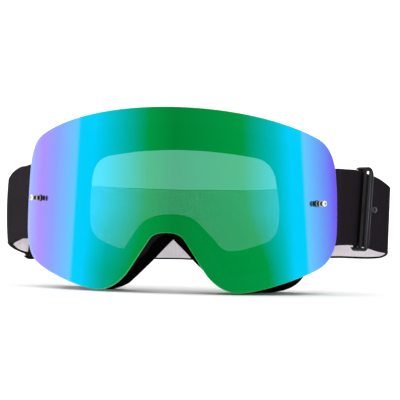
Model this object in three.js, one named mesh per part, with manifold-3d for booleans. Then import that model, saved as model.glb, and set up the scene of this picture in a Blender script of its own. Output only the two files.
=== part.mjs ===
// Motorcycle goggles: a frameless mirrored lens with tear-off posts on a soft frame with
// layered face foam, held by an elastic head strap with two sliders.
// Millimetres, +Z up, the lens facing -Y, the middle plane at x = 0. Every piece is shaped
// with the lens's front apex at the origin; the whole group is then set on its lowest point.

import * as THREE from 'three';
import { ParametricGeometry } from 'three/addons/geometries/ParametricGeometry.js';
import { mergeVertices } from 'three/addons/utils/BufferGeometryUtils.js';
import Module from 'manifold-3d';

const wasm = await Module();
wasm.setup();

// ---- driving dimensions -------------------------------------------------------------------

const GAP = 0.3;                  // air between pieces that touch

const LENS_RADIUS = 104;          // the lens is a piece of an upright cylinder
const LENS_THICK = 1.6;
const LENS_STRIPS = 64;

const GASKET_THICK = 2;
const RIM_THICK = 2.7;            // front rim of the frame
const RIM_INSET = 3;              // how far the rim stays inside the lens's edge
const RIM_WIDTH = 7;
const WALL = 2.5;                 // frame wall, measured in from the rim's or flange's edge
const FLANGE_THICK = 2;           // rear flange that carries the foam

const FACE = { half: 75, noseHalf: 42, browZ: 26, noseZ: -9 };
const FACE_DEPTH = { nose: 24, brow: 44, browBend: 36, cheekBend: 55 };
const FOAM_LAYERS = { face_foam_base: [10, 5.4], face_foam_middle: [5, 2.3], face_fleece: [1.9, 0] };

const PIVOT = { y: 61.5, z: -1, boss: 5, bore: 2.5, pin: 2.2, head: 3.5 };
const BOSS_SPAN = [73, 84.6];     // across x
const OUTRIGGER_SPAN = [85, 86.8];
const PIN_SPAN = [75, 87.2, 88.4];

const STRAP_WIDTH = 45;
const STRAP_THICK = 1.6;
const STRAP_DROP = 0.13;          // the strap sinks this much for each millimetre back
const STRAP_MID_Z = 0.6;          // middle of its width at the pivots
const STRAP_BOW = 3.8;            // its edges rise above a straight line between bar and fold
const REAR_SAG = { drop: 3, from: -122, reached: -108, leaves: 25, gone: 95, front: 115 };
const BAR = { x: 86.9, y: 69, r: 1.1 };
const FOLD = { x: 114.5, y: 123, r: 6.15 };
const REAR_STRAIGHT = 80;         // the rear run is straight outside this x
const REAR_STATIONS = [109, 97];  // places between the fold and there
const REAR_BOW = 5;
const LAYER_OFFSET = (STRAP_THICK + GAP) / 2;
const LOOP_TAPER = 9;             // length over which the two layers close up

const SLIDER = { length: 11, height: 51, corner: 5.2, channel: 4, window: 47.2, front: 1.7, back: 1.2 };
const SLIDER_BARS = { outer: 3.2, middle: 3.4 };
const SLIDER_RIGHT_RUN = 32;      // along the strap from the outrigger bar
const SLIDER_RIGHT_RISE = 0;      // how far each slider sits above the strap's middle
const SLIDER_LEFT_X = -105.5;
const SLIDER_LEFT_RISE = 0.2;
const SLIDER_LEFT_LEAN = THREE.MathUtils.degToRad(5);
const EYELET = { reach: 2.9, r: 1.8, hole: 0.8, thick: 1.4 };

const POST = { s: 90.5, z: 0.7, shank: 1, bore: 1.35 };
const NUT = { r: 2.8, thick: 1.8 };
const PEG = { r: 1.6, hole: 2, length: 9, inset: 6.5, top: 42, bottom: 62 };

const GROUND = 50.7;              // height of the lens's apex above the lowest point
const DEPTH_MIDDLE = 68.6;        // from the lens's apex back to the middle of the depth

// ---- outlines -----------------------------------------------------------------------------
// Right half of each outline from the top centre round to the nose, as quadratic curves: a
// start, then [control, end] for the top, upper corner, side, lower corner, two stretches of
// bottom edge, lobe, nose flank and nose top. The first is measured round the cylinder.

const LENS_OUTLINE = {
  start: [0, 50.5],
  curves: [
    [[44.8, 50.5], [89.4, 37.4]],
    [[104.3, 33], [107.4, 18.5]],
    [[110.2, 4], [110, -13.5]],
    [[110, -27.2], [97, -34.3]],
    [[92, -37.1], [72.2, -42.8]],
    [[48.4, -49.7], [40, -49.7]],
    [[30.2, -49.7], [22.2, -40.4]],
    [[16, -31.3], [9.4, -21.2]],
    [[7, -17.9], [0, -17.9]],
  ],
};

const PAD_OUTLINE = {
  flare: 8,                       // how much deeper the pad's outer edge lies beside the nose
  start: [0, 43],
  curves: [
    [[26, 43], [50, 38]],
    [[67, 34], [71, 16]],
    [[73, 2], [73, -12]],
    [[76, -34], [70, -42.5]],
    [[65, -49.6], [52, -50.4]],
    [[46, -51], [40, -50.4]],
    [[33.5, -50.6], [26.6, -46.2]],
    [[17.3, -38.8], [8, -28.5]],
    [[3, -23.5], [0, -20.5]],
  ],
};

const EYE_OUTLINE = {
  start: [0, 30.2],
  curves: [
    [[22, 30.2], [43, 27]],
    [[54.6, 25.2], [55.6, 10]],
    [[57.6, 0], [57, -8]],
    [[57, -17.3], [51.6, -21.2]],
    [[48, -23.5], [41, -25.5]],
    [[36, -27.5], [31, -27.5]],
    [[26.5, -27.5], [23, -22.5]],
    [[18, -16.5], [13, -11.5]],
    [[10, -7.8], [0, -7.8]],
  ],
};

const STEPS = [12, 4, 3, 4, 4, 4, 4, 2, 3];

// Points of the right half, top centre to nose centre.
function halfOutline({ start, curves }, finer = 1) {
  const points = [new THREE.Vector2(...start)];
  curves.forEach(([control, end], i) => {
    const curve = new THREE.QuadraticBezierCurve(
      points.at(-1),
      new THREE.Vector2(...control),
      new THREE.Vector2(...end),
    );
    points.push(...curve.getPoints(STEPS[i] * finer).slice(1));
  });
  return points;
}

// The whole closed outline, moved inwards by a distance.
function outline(shape, inset = 0) {
  const half = halfOutline(shape);
  const mirrored = half.slice(1, -1).reverse().map((p) => new THREE.Vector2(-p.x, p.y));
  const loop = [...half, ...mirrored];
  return loop.map((point, i) => {
    const before = loop.at(i - 1);
    const after = loop[(i + 1) % loop.length];
    const run = after.clone().sub(before).normalize();
    return point.clone().add(new THREE.Vector2(run.y, -run.x).multiplyScalar(inset));
  });
}

// ---- surfaces the outlines are laid on ------------------------------------------------------

// A place on the lens: round the cylinder, up, and behind its front face.
function onLens(s, z, depth) {
  const angle = s / LENS_RADIUS;
  const r = LENS_RADIUS - depth;
  return new THREE.Vector3(r * Math.sin(angle), LENS_RADIUS - r * Math.cos(angle), z);
}

// How far back the wearer's face lies: shallow at the nose, deep at the temples.
function faceDepth(x, z) {
  const side = Math.min(Math.abs(x) / FACE.half, 1);
  const brow = FACE_DEPTH.brow + FACE_DEPTH.browBend * side ** 2;
  const cheek = FACE_DEPTH.nose + FACE_DEPTH.cheekBend * (3 * side ** 2 - 2 * side ** 3);
  const drop = THREE.MathUtils.smoothstep(FACE.browZ - z, 0, FACE.browZ - FACE.noseZ);
  return brow + (cheek - brow) * drop;
}

const lensLoop = (inset, depth) => outline(LENS_OUTLINE, inset).map((p) => onLens(p.x, p.y, depth));

function faceLoop(shape, inset, lift) {
  return outline(shape, inset).map(({ x, y: z }) => {
    const besideNose = z < 0 ? 1 - THREE.MathUtils.smoothstep(Math.abs(x), 0, FACE.noseHalf) : 0;
    return new THREE.Vector3(x, faceDepth(x, z) + (shape.flare ?? 0) * besideNose - lift, z);
  });
}

// ---- solids ---------------------------------------------------------------------------------

// A solid ring whose section's corners are the given loops. Each face is split along its
// shorter diagonal, so that two rings that meet face to face are split alike.
function ringLoft(loops) {
  const count = loops[0].length;
  const points = loops.flat();
  const index = [];
  for (let j = 0; j < loops.length; j += 1) {
    const here = j * count;
    const next = ((j + 1) % loops.length) * count;
    for (let i = 0; i < count; i += 1) {
      const k = (i + 1) % count;
      const [a, b, c, d] = [here + i, here + k, next + k, next + i];
      const short = points[a].distanceTo(points[c]) < points[b].distanceTo(points[d]);
      index.push(...(short ? [a, b, c, a, c, d] : [a, b, d, b, c, d]));
    }
  }
  return new THREE.BufferGeometry().setFromPoints(points).setIndex(index);
}

function toSolid(geometry) {
  const bare = geometry.index ? geometry.clone() : mergeVertices(geometry.clone());
  bare.deleteAttribute('normal');
  bare.deleteAttribute('uv');
  const merged = mergeVertices(bare, 1e-4);
  const index = merged.index.array;
  const triangles = [];
  for (let i = 0; i < index.length; i += 3) {
    const [a, b, c] = index.slice(i, i + 3);
    if (a !== b && b !== c && c !== a) triangles.push(a, b, c);
  }
  const mesh = new wasm.Mesh({
    numProp: 3,
    vertProperties: new Float32Array(merged.attributes.position.array),
    triVerts: new Uint32Array(triangles),
  });
  return new wasm.Manifold(mesh);
}

function toGeometry(solid) {
  const { vertProperties, triVerts } = solid.getMesh();
  const geometry = new THREE.BufferGeometry();
  geometry.setAttribute('position', new THREE.BufferAttribute(vertProperties, 3));
  geometry.setIndex(new THREE.BufferAttribute(triVerts, 1));
  geometry.computeVertexNormals();
  return geometry;
}

// A solid cylinder between two values of x, y or z.
function rod(axis, radius, [low, high], [a, b], sides = 24) {
  const geometry = new THREE.CylinderGeometry(radius, radius, high - low, sides);
  const middle = (low + high) / 2;
  if (axis === 'x') geometry.rotateZ(-Math.PI / 2).translate(middle, a, b);
  if (axis === 'y') geometry.translate(a, middle, b);
  if (axis === 'z') geometry.rotateX(Math.PI / 2).translate(a, b, middle);
  return toSolid(geometry);
}

function block([x0, x1], [y0, y1], [z0, z1]) {
  const geometry = new THREE.BoxGeometry(x1 - x0, y1 - y0, z1 - z0);
  return geometry.translate((x0 + x1) / 2, (y0 + y1) / 2, (z0 + z1) / 2);
}

// ---- materials ------------------------------------------------------------------------------

function material(color, roughness, metalness = 0) {
  return new THREE.MeshStandardMaterial({ color, roughness, metalness });
}

const goggles = new THREE.Group();
goggles.position.set(0, -DEPTH_MIDDLE, GROUND);

function add(name, geometry, look) {
  const mesh = new THREE.Mesh(geometry, look);
  mesh.name = name;
  goggles.add(mesh);
}

const SIDES = { left: -1, right: 1 };
const mirrored = (solid, side) => (side < 0 ? solid.mirror([1, 0, 0]) : solid);

// ---- lens, posts, nuts and pegs ---------------------------------------------------------------

// Height of the lens's edge at a distance round the cylinder.
function edgeHeight(points, s) {
  const i = points.findIndex((p, k) => k > 0 && (p.x - s) * (points[k - 1].x - s) <= 0);
  const [a, b] = [points[i - 1], points[i]];
  return a.x === b.x ? a.y : a.y + ((b.y - a.y) * (s - a.x)) / (b.x - a.x);
}

const lensEdge = halfOutline(LENS_OUTLINE, 4);
const tip = lensEdge.findIndex((p) => p.x >= 110 - 1e-6);
const upperEdge = (s) => edgeHeight(lensEdge.slice(0, tip + 1), Math.abs(s));
const lowerEdge = (s) => edgeHeight(lensEdge.slice(tip), Math.abs(s));

function lensSolid() {
  const halfArc = lensEdge[tip].x;
  const sections = [];
  for (let i = 0; i <= LENS_STRIPS; i += 1) {
    const s = -halfArc * Math.cos((Math.PI * i) / LENS_STRIPS);
    const [top, bottom] = [upperEdge(s), lowerEdge(s)];
    sections.push([
      onLens(s, bottom, LENS_THICK),
      onLens(s, top, LENS_THICK),
      onLens(s, top, 0),
      onLens(s, bottom, 0),
    ]);
  }
  const surface = (u, v, target) => {
    target.copy(sections[Math.round(v * LENS_STRIPS)][Math.round(u * 4) % 4]);
  };
  return toSolid(new ParametricGeometry(surface, 4, LENS_STRIPS));
}

// Puts a solid that points along +Y from the origin square on the lens, pointing outwards.
function squareOnLens(geometry, side, depth) {
  const angle = (side * POST.s) / LENS_RADIUS;
  const place = onLens(side * POST.s, POST.z, depth);
  return geometry.rotateZ(Math.PI + angle).translate(place.x, place.y, place.z);
}

// Half section of a turned post: distance from its axis, then height off the lens.
const POST_PROFILE = [
  [0, -LENS_THICK - NUT.thick - 0.8],
  [POST.shank, -LENS_THICK - NUT.thick - 0.8],
  [POST.shank, GAP],
  [1.9, GAP],
  [1.9, 0.9],
  [1.15, 1.3],
  [1.15, 2.2],
  [1.75, 2.5],
  [1.75, 3.1],
  [1.05, 3.5],
  [1.05, 4.5],
  [1.7, 4.9],
  [1.7, 5.7],
  [1.1, 6.3],
  [0, 6.3],
];

const lensLook = material(0x00a878, 0.06, 0.9);
const steel = material(0xc9c4b4, 0.22, 1);
const blackPlastic = material(0x1b1b1d, 0.45);

let lens = lensSolid();
for (const [name, side] of Object.entries(SIDES)) {
  const hole = new THREE.CylinderGeometry(POST.bore, POST.bore, 6, 20);
  lens = lens.subtract(toSolid(squareOnLens(hole, side, 0)));

  const profile = POST_PROFILE.map(([r, h]) => new THREE.Vector2(r, h));
  add(`tear_off_post_${name}`, squareOnLens(new THREE.LatheGeometry(profile, 16), side, 0), steel);

  const nut = new THREE.CylinderGeometry(NUT.r, NUT.r, NUT.thick, 6);
  const bored = toSolid(nut).subtract(rod('y', POST.bore, [-3, 3], [0, 0], 16));
  const depth = LENS_THICK + GAP + NUT.thick / 2;
  add(`post_nut_${name}`, squareOnLens(toGeometry(bored), side, depth), steel);
}
add('lens', toGeometry(lens), lensLook);

// Snap pegs along Y, from just behind the lens through the gasket and the rim.
const PEGS = {};
for (const [name, side] of Object.entries(SIDES)) {
  PEGS[`lens_peg_upper_${name}`] = [side * PEG.top, upperEdge(PEG.top) - PEG.inset];
  PEGS[`lens_peg_lower_${name}`] = [side * PEG.bottom, lowerEdge(PEG.bottom) + PEG.inset];
}
const pegHoles = [];
for (const [name, [s, z]] of Object.entries(PEGS)) {
  const root = onLens(s, z, LENS_THICK);
  const front = root.y + PEG.r * Math.tan(Math.abs(s) / LENS_RADIUS) + GAP;
  const peg = rod('y', PEG.r, [front, front + PEG.length], [root.x, z], 16);
  add(name, toGeometry(peg), blackPlastic);
  pegHoles.push(rod('y', PEG.hole, [front - 3, front + PEG.length + 1], [root.x, z], 16));
}

// ---- frame, gasket and vent foam ----------------------------------------------------------------

const rimFront = LENS_THICK + GASKET_THICK + 2 * GAP;
const rimBack = rimFront + RIM_THICK;
const flangeLift = FOAM_LAYERS.face_foam_base[0] + GAP;

const shell = toSolid(ringLoft([
  lensLoop(RIM_INSET, rimFront),
  lensLoop(RIM_INSET + RIM_WIDTH, rimFront),
  lensLoop(RIM_INSET + RIM_WIDTH, rimBack),
  lensLoop(RIM_INSET + WALL, rimBack),
  faceLoop(PAD_OUTLINE, WALL, flangeLift + FLANGE_THICK),
  faceLoop(EYE_OUTLINE, 0, flangeLift + FLANGE_THICK),
  faceLoop(EYE_OUTLINE, 0, flangeLift),
  faceLoop(PAD_OUTLINE, 0, flangeLift),
].reverse()));

// Each vent: [centre x, centre y, turn in degrees, low z, high z], on the right side.
const VENTS = {
  upper_inner: [14, 22, 9, 34, 60],
  upper_outer: [42, 30, 26, 34, 60],
  lower: [52, 38, 37, -60, -38],
};
const VENT_SIZE = [21, 12];

function ventBlock([x, y, turn, low, high], side, shrink) {
  const [long, wide] = VENT_SIZE.map((size) => size / 2 - shrink);
  const geometry = block([-long, long], [-wide, wide], [low, high]);
  geometry.rotateZ(THREE.MathUtils.degToRad(turn)).translate(x, y, 0);
  return mirrored(toSolid(geometry), side);
}

let frame = shell;
const pins = {};
for (const [name, side] of Object.entries(SIDES)) {
  const boss = rod('x', PIVOT.boss, BOSS_SPAN, [PIVOT.y, PIVOT.z]);
  const bore = rod('x', PIVOT.bore, [PIN_SPAN[0] - 4, 92], [PIVOT.y, PIVOT.z]);
  frame = frame.add(mirrored(boss, side)).subtract(mirrored(bore, side));

  const shank = rod('x', PIVOT.pin, [PIN_SPAN[0], PIN_SPAN[1] + 0.1], [PIVOT.y, PIVOT.z]);
  const head = rod('x', PIVOT.head, [PIN_SPAN[1], PIN_SPAN[2]], [PIVOT.y, PIVOT.z]);
  pins[name] = mirrored(shank.add(head), side);
}

const foamBlack = material(0x151516, 0.95);
for (const [place, vent] of Object.entries(VENTS)) {
  for (const [name, side] of Object.entries(SIDES)) {
    const plug = shell.intersect(ventBlock(vent, side, GAP));
    add(`vent_foam_${place}_${name}`, toGeometry(plug), foamBlack);
    frame = frame.subtract(ventBlock(vent, side, 0));
  }
}
for (const hole of pegHoles) frame = frame.subtract(hole);
add('frame_shell', toGeometry(frame), material(0x121213, 0.6));

for (const [name, pin] of Object.entries(pins)) add(`pivot_pin_${name}`, toGeometry(pin), blackPlastic);

let gasket = toSolid(ringLoft([
  lensLoop(RIM_INSET + 0.2, LENS_THICK + GAP),
  lensLoop(RIM_INSET + RIM_WIDTH - 0.4, LENS_THICK + GAP),
  lensLoop(RIM_INSET + RIM_WIDTH - 0.4, LENS_THICK + GAP + GASKET_THICK),
  lensLoop(RIM_INSET + 0.2, LENS_THICK + GAP + GASKET_THICK),
].reverse()));
for (const hole of pegHoles) gasket = gasket.subtract(hole);
add('lens_gasket', toGeometry(gasket), foamBlack);

// ---- face foam ------------------------------------------------------------------------------------

for (const [name, [front, back]] of Object.entries(FOAM_LAYERS)) {
  const layer = toSolid(ringLoft([
    faceLoop(PAD_OUTLINE, 0, front),
    faceLoop(EYE_OUTLINE, 0, front),
    faceLoop(EYE_OUTLINE, 0, back),
    faceLoop(PAD_OUTLINE, 0, back),
  ].reverse()));
  add(name, toGeometry(layer), foamBlack);
}

// ---- strap ------------------------------------------------------------------------------------------
// The middle line between the two layers of webbing, seen from above, from the right
// outrigger's bar round the back to the left one's. Each entry has its place, its outward
// normal and its distance from the bar.

const toBar = new THREE.Vector2(BAR.x - FOLD.x, BAR.y - FOLD.y);
const tangentAngle = Math.atan2(toBar.y, toBar.x) + Math.acos(FOLD.r / toBar.length());
const runNormal = new THREE.Vector2(Math.cos(tangentAngle), Math.sin(tangentAngle));
const runDirection = new THREE.Vector2(-runNormal.y, runNormal.x);
const runLength = Math.sqrt(toBar.lengthSq() - FOLD.r ** 2);

function rightMiddleLine() {
  const line = [];
  const beyond = (share) => LOOP_TAPER + (runLength - LOOP_TAPER) * share;
  for (const run of [0, 1.5, 3, 4.5, 6, 7.5, ...[0, 1, 2, 3, 4, 5, 6].map((i) => beyond(i / 6))]) {
    const place = new THREE.Vector2(BAR.x, BAR.y).addScaledVector(runDirection, run);
    line.push({ place, normal: runNormal, run });
  }
  for (let i = 1; i <= 12; i += 1) {
    const angle = tangentAngle + ((Math.PI / 2 - tangentAngle) * i) / 12;
    const normal = new THREE.Vector2(Math.cos(angle), Math.sin(angle));
    line.push({ place: normal.clone().multiplyScalar(FOLD.r).add(FOLD), normal, run: runLength });
  }
  for (const x of REAR_STATIONS) {
    const place = new THREE.Vector2(x, FOLD.y + FOLD.r);
    line.push({ place, normal: new THREE.Vector2(0, 1), run: runLength });
  }
  for (let i = 0; i <= 8; i += 1) {
    const x = REAR_STRAIGHT * (1 - i / 8);
    const swing = (Math.PI * x) / REAR_STRAIGHT;
    const y = FOLD.y + FOLD.r + (REAR_BOW / 2) * (1 + Math.cos(swing));
    const slope = (-REAR_BOW / 2) * (Math.PI / REAR_STRAIGHT) * Math.sin(swing);
    const normal = new THREE.Vector2(-slope, 1).normalize();
    line.push({ place: new THREE.Vector2(x, y), normal, run: runLength });
  }
  return line;
}

const flip = ({ place, normal, run }) => ({
  place: new THREE.Vector2(-place.x, place.y),
  normal: new THREE.Vector2(-normal.x, normal.y),
  run,
});
const rightLine = rightMiddleLine();
const leftLine = rightLine.slice(0, -1).map(flip).reverse();
const middleLine = [...rightLine, ...leftLine];

// Distance of a layer's middle from the middle line: wider where it leaves the bar.
const barOffset = BAR.r + 0.25 + STRAP_THICK / 2;
function layerOffset(run) {
  const close = Math.min(run / LOOP_TAPER, 1);
  return LAYER_OFFSET + ((barOffset - LAYER_OFFSET) * (1 + Math.cos(Math.PI * close))) / 2;
}

// Height of the middle of the strap's width: it sinks towards the back, bows up between the
// bar and the fold, and sags behind the head.
function strapMidZ(x, y) {
  const { smoothstep, clamp } = THREE.MathUtils;
  const { drop, from, reached, leaves, gone, front } = REAR_SAG;
  const share = clamp((y - BAR.y) / (FOLD.y + FOLD.r - BAR.y), 0, 1);
  const bow = STRAP_BOW * 4 * share * (1 - share);
  const behind = smoothstep(y, front, FOLD.y + FOLD.r);
  const sag = drop * smoothstep(x, from, reached) * (1 - smoothstep(x, leaves, gone)) * behind;
  return STRAP_MID_Z - STRAP_DROP * (y - PIVOT.y) + bow - sag;
}

// Webbing on edge along [place, normal] pairs.
function webbing(path) {
  const corners = [[-1, -1], [1, -1], [1, 1], [-1, 1]];
  const rings = path.map(([place, normal]) => corners.map(([out, up]) => {
    const { x, y } = place.clone().addScaledVector(normal, (out * STRAP_THICK) / 2);
    return new THREE.Vector3(x, y, strapMidZ(x, y) + (up * STRAP_WIDTH) / 2);
  }));
  const last = 4 * (rings.length - 1);
  const index = [0, 1, 2, 0, 2, 3, last, last + 2, last + 1, last, last + 3, last + 2];
  for (let j = 0; j < last; j += 4) {
    for (let i = 0; i < 4; i += 1) {
      const k = (i + 1) % 4;
      index.push(j + i, j + 4 + i, j + k, j + k, j + 4 + i, j + 4 + k);
    }
  }
  // The faces above point outwards where the normal lies to the right of the path.
  const [[start, normal], [next]] = path;
  if (normal.cross(next.clone().sub(start)) < 0) index.reverse();
  return new THREE.BufferGeometry().setFromPoints(rings.flat()).setIndex(index);
}

const along = ({ place, normal, run }, sign) => [
  place.clone().addScaledVector(normal, sign * layerOffset(run)),
  normal,
];

// The half turn round a bar, from the outer layer's side to the inner one's.
function barTurn(side) {
  const turn = [];
  for (let i = 1; i <= 8; i += 1) {
    const angle = tangentAngle - (Math.PI * i) / 8;
    const normal = new THREE.Vector2(side * Math.cos(angle), Math.sin(angle));
    const place = new THREE.Vector2(side * BAR.x, BAR.y).addScaledVector(normal, barOffset);
    turn.push([place, normal]);
  }
  return turn;
}

const webLook = material(0x231f24, 0.85);
add('strap_band', webbing(middleLine.map((spot) => along(spot, -1))), webLook);

// The right end comes back along the run and stops inside its slider.
const rightEnd = rightLine.filter(({ run }) => run < SLIDER_RIGHT_RUN);
const rightStop = {
  place: new THREE.Vector2(BAR.x, BAR.y).addScaledVector(runDirection, SLIDER_RIGHT_RUN + 1),
  normal: runNormal,
  run: SLIDER_RIGHT_RUN + 1,
};
const rightDoubled = [...rightEnd, rightStop].reverse().map((spot) => along(spot, 1));
const turnGap = (turn) => turn.slice(0, -1);
add('strap_end_right', webbing([...rightDoubled, ...turnGap(barTurn(1))]), webLook);

// The left end goes on round its fold and stops inside its slider on the rear run.
const leftEnd = leftLine.filter(({ place }) => place.x < SLIDER_LEFT_X - 2);
const leftStop = {
  place: new THREE.Vector2(SLIDER_LEFT_X - 1, FOLD.y + FOLD.r),
  normal: new THREE.Vector2(0, 1),
  run: runLength,
};
const leftDoubled = [leftStop, ...leftEnd].map((spot) => along(spot, 1));
add('strap_end_left', webbing([...leftDoubled, ...turnGap(barTurn(-1))]), webLook);

// ---- outriggers ---------------------------------------------------------------------------------------

const halfWeb = STRAP_WIDTH / 2;
const armTop = STRAP_MID_Z + halfWeb - 0.3;
const armBottom = STRAP_MID_Z - halfWeb - 2.2;
const ARM = { thick: 1.6, front: 58, back: 71, outer: 88.2 };
const PLATE_BACK = 65;

function outrigger() {
  const [inner, outer] = OUTRIGGER_SPAN;
  const plate = new THREE.Shape();
  plate.moveTo(PIVOT.y - 6.5, PIVOT.z - 4);
  plate.lineTo(ARM.front, armBottom - ARM.thick);
  plate.lineTo(PLATE_BACK, armBottom - ARM.thick);
  plate.lineTo(PLATE_BACK, armTop + ARM.thick);
  plate.lineTo(ARM.front, armTop + ARM.thick);
  plate.lineTo(PIVOT.y - 6.5, PIVOT.z + 4);
  plate.closePath();
  const sheet = new THREE.ExtrudeGeometry(plate, { depth: outer - inner, bevelEnabled: false });
  const turn = new THREE.Matrix4().makeBasis(
    new THREE.Vector3(0, 1, 0),
    new THREE.Vector3(0, 0, 1),
    new THREE.Vector3(1, 0, 0),
  );
  let solid = toSolid(sheet.applyMatrix4(turn).translate(inner, 0, 0));
  for (const [low, high] of [[armTop, armTop + ARM.thick], [armBottom - ARM.thick, armBottom]]) {
    solid = solid.add(toSolid(block([inner, ARM.outer], [ARM.front + 2, ARM.back], [low, high])));
  }
  const bar = rod('z', BAR.r, [armBottom - 1, armTop + 1], [BAR.x, BAR.y], 12);
  const bore = rod('x', PIVOT.bore, [inner - 1, outer + 1], [PIVOT.y, PIVOT.z]);
  return solid.add(bar).subtract(bore);
}

for (const [name, side] of Object.entries(SIDES)) {
  add(`outrigger_${name}`, toGeometry(mirrored(outrigger(), side)), blackPlastic);
}

// ---- sliders ----------------------------------------------------------------------------------------------
// Made with the strap running along X, its outer face towards +Y and its width along Z.

function sliderSolid() {
  const { length, height, corner, channel, window, front, back } = SLIDER;
  const plate = new THREE.Shape();
  const [halfLength, halfHeight] = [length / 2, height / 2];
  plate.moveTo(halfLength, -halfHeight + corner);
  plate.lineTo(halfLength, halfHeight - corner);
  plate.absarc(halfLength - corner, halfHeight - corner, corner, 0, Math.PI / 2);
  plate.absarc(-halfLength + corner, halfHeight - corner, corner, Math.PI / 2, Math.PI);
  plate.absarc(-halfLength + corner, -halfHeight + corner, corner, Math.PI, 1.5 * Math.PI);
  plate.absarc(halfLength - corner, -halfHeight + corner, corner, 1.5 * Math.PI, 2 * Math.PI);
  const options = { depth: front + channel + back, bevelEnabled: false, curveSegments: 6 };
  const body = new THREE.ExtrudeGeometry(plate, options);
  body.rotateX(Math.PI / 2).translate(0, channel / 2 + front, 0);

  const [tall, halfChannel] = [window / 2, channel / 2];
  const cuts = [
    block([-length, length], [-halfChannel, halfChannel], [-tall, tall]),
    block([-halfLength + SLIDER_BARS.outer, halfLength - SLIDER_BARS.outer], [0, 9], [-tall, tall]),
    block([-length, -SLIDER_BARS.middle / 2], [-9, 0], [-tall, tall]),
    block([SLIDER_BARS.middle / 2, length], [-9, 0], [-tall, tall]),
  ];
  let solid = toSolid(body);
  for (const cut of cuts) solid = solid.subtract(toSolid(cut));

  // A small eyelet on the middle of the far bar, its hole facing along the strap.
  const barX = -halfLength + SLIDER_BARS.outer / 2;
  const top = halfChannel + front;
  const centre = top + EYELET.reach;
  const span = [barX - EYELET.thick / 2, barX + EYELET.thick / 2];
  const neck = block(span, [top - 0.2, centre], [-EYELET.thick / 2, EYELET.thick / 2]);
  const ring = rod('x', EYELET.r, span, [centre, 0], 14).subtract(
    rod('x', EYELET.hole, [span[0] - 1, span[1] + 1], [centre, 0], 10),
  );
  const hole = rod('x', EYELET.hole, [span[0] - 1, span[1] + 1], [centre, 0], 10);
  return solid.add(toSolid(neck)).add(ring).subtract(hole);
}

function placeSlider(name, place, direction, normal, rise, lean) {
  const ahead = place.clone().add(direction);
  const climb = strapMidZ(ahead.x, ahead.y) - strapMidZ(place.x, place.y);
  const forward = new THREE.Vector3(direction.x, direction.y, climb).normalize();
  const outward = new THREE.Vector3(normal.x, normal.y, 0);
  const up = new THREE.Vector3().crossVectors(forward, outward);
  const turn = new THREE.Matrix4().makeBasis(forward, outward, up);
  if (up.z < 0) turn.multiply(new THREE.Matrix4().makeRotationY(Math.PI));
  turn.multiply(new THREE.Matrix4().makeRotationY(lean));
  turn.setPosition(place.x, place.y, strapMidZ(place.x, place.y) + rise);
  add(name, toGeometry(sliderSolid()).applyMatrix4(turn), material(0x3a3a3e, 0.4));
}

const rightPlace = new THREE.Vector2(BAR.x, BAR.y).addScaledVector(runDirection, SLIDER_RIGHT_RUN);
placeSlider('slider_right', rightPlace, runDirection, runNormal, SLIDER_RIGHT_RISE, 0);
const leftPlace = new THREE.Vector2(SLIDER_LEFT_X, FOLD.y + FOLD.r);
const [acrossBack, straightBack] = [new THREE.Vector2(1, 0), new THREE.Vector2(0, 1)];
placeSlider('slider_left', leftPlace, acrossBack, straightBack, SLIDER_LEFT_RISE, SLIDER_LEFT_LEAN);

export default goggles;
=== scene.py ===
import math

import bmesh
import bpy
import numpy as np
from mathutils import Matrix, Vector, noise


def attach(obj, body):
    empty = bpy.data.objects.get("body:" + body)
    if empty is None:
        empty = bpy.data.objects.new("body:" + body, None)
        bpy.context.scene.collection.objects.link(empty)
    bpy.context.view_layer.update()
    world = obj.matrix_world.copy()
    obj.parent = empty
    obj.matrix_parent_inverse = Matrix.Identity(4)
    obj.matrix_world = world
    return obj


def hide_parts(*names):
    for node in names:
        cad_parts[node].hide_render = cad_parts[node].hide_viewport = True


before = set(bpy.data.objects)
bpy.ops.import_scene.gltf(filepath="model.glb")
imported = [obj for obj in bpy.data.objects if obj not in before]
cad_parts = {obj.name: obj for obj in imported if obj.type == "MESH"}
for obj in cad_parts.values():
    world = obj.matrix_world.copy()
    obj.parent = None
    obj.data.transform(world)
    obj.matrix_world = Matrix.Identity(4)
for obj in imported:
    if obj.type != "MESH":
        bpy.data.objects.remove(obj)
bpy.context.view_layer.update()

# ---- dimensions, in millimetres --------------------------------------------------------------------
# The model is drawn about the lens's front apex: +X to the viewer's right, +Y towards the
# wearer, +Z up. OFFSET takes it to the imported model's frame.

OFFSET = np.array([0.0, -68.6, 50.7])

LENS_RADIUS = 104.0
LENS_THICK = 1.6
LENS_TIP = 110.0
PRINT_WIDTH = 9.4          # black border printed on the back of the lens
POST_S, POST_Z, POST_TOP = 90.5, 0.7, 6.3
GASKET_FRONT, GASKET_BACK = 1.9, 3.9
RIM_INSET, RIM_WIDTH = 3.0, 7.0
# Farther back than RIM_PALE the frame is painted near-black, as shade.
RIM_PALE, RIM_FADE = 12.0, 1.5   # the frame is paler this far behind the lens's front

FACE_HALF, NOSE_HALF, BROW_Z, NOSE_Z = 75.0, 42.0, 26.0, -9.0
DEPTH_NOSE, DEPTH_BROW, BROW_BEND, CHEEK_BEND = 24.0, 44.0, 36.0, 55.0
PAD_FLARE = 8.0

STRAP_WIDTH, STRAP_THICK = 45.0, 1.6
STRAP_DROP, STRAP_MID_Z, PIVOT_Y = 0.13, 0.6, 61.5
STRAP_BOW = 3.8            # its edges rise above a straight line between bar and fold
SAG_DROP, SAG_START, SAG_FULL, SAG_LEAVES, SAG_GONE, SAG_FRONT = 3.0, -122, -108, 25, 95, 115
BAR = np.array([86.9, 69.0])
BAR_R = 1.1
FOLD = np.array([114.5, 123.0])
FOLD_R = 6.15
REAR_STRAIGHT, REAR_BOW = 80.0, 5.0
LAYER_OFFSET, LOOP_TAPER = 0.95, 9.0
SLIDER_RUN, SLIDER_LEFT_X = 32.0, -105.5
LINING_START = 12.0        # the pale lining stops this far from each bar
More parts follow.
